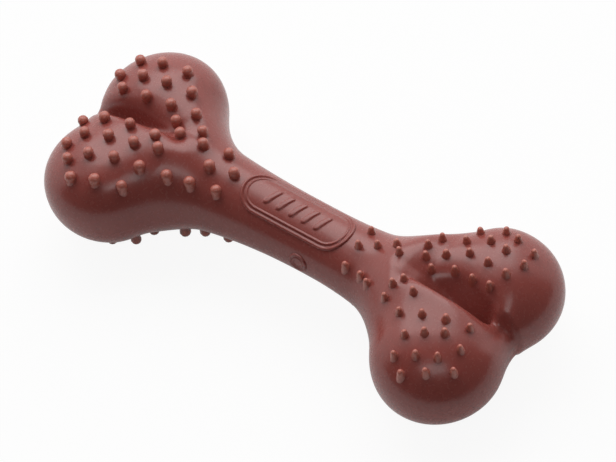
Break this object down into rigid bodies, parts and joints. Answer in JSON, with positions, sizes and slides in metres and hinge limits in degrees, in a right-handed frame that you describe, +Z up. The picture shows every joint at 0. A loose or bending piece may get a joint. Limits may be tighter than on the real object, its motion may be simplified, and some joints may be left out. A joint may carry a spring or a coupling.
{
  "type": "dental chew bone",
  "caption": "Rubber dog chew bone with a round shaft, paired round knuckles at each end and fields of tooth-cleaning nubs, fat studs at one end and slim cones at the other.",
  "frame": {"origin": "Below the middle of the bone, level with the lowest nub tips that it lies on.", "axes": "+X runs along the bone towards the end with the slim cones, +Y points to the far knuckles, away from the round mark, and +Z points up out of the face with the label."},
  "size_m": [0.1656, 0.0695, 0.0381],
  "materials": {
    "rubber": "satin"
  },
  "bodies": {
    "root": {"bone_body": "rubber", "knuckle_nubs_left_near_upper": "rubber", "knuckle_nubs_left_far_upper": "rubber", "neck_nubs_left_upper": "rubber", "knuckle_nubs_left_near_lower": "rubber", "knuckle_nubs_left_far_lower": "rubber", "neck_nubs_left_lower": "rubber", "knuckle_nubs_right_near_upper": "rubber", "knuckle_nubs_right_far_upper": "rubber", "neck_nubs_right_upper": "rubber", "knuckle_nubs_right_near_lower": "rubber", "knuckle_nubs_right_far_lower": "rubber", "neck_nubs_right_lower": "rubber", "label_field": "rubber", "round_mark": "rubber"}
  },
  "joints": []
}
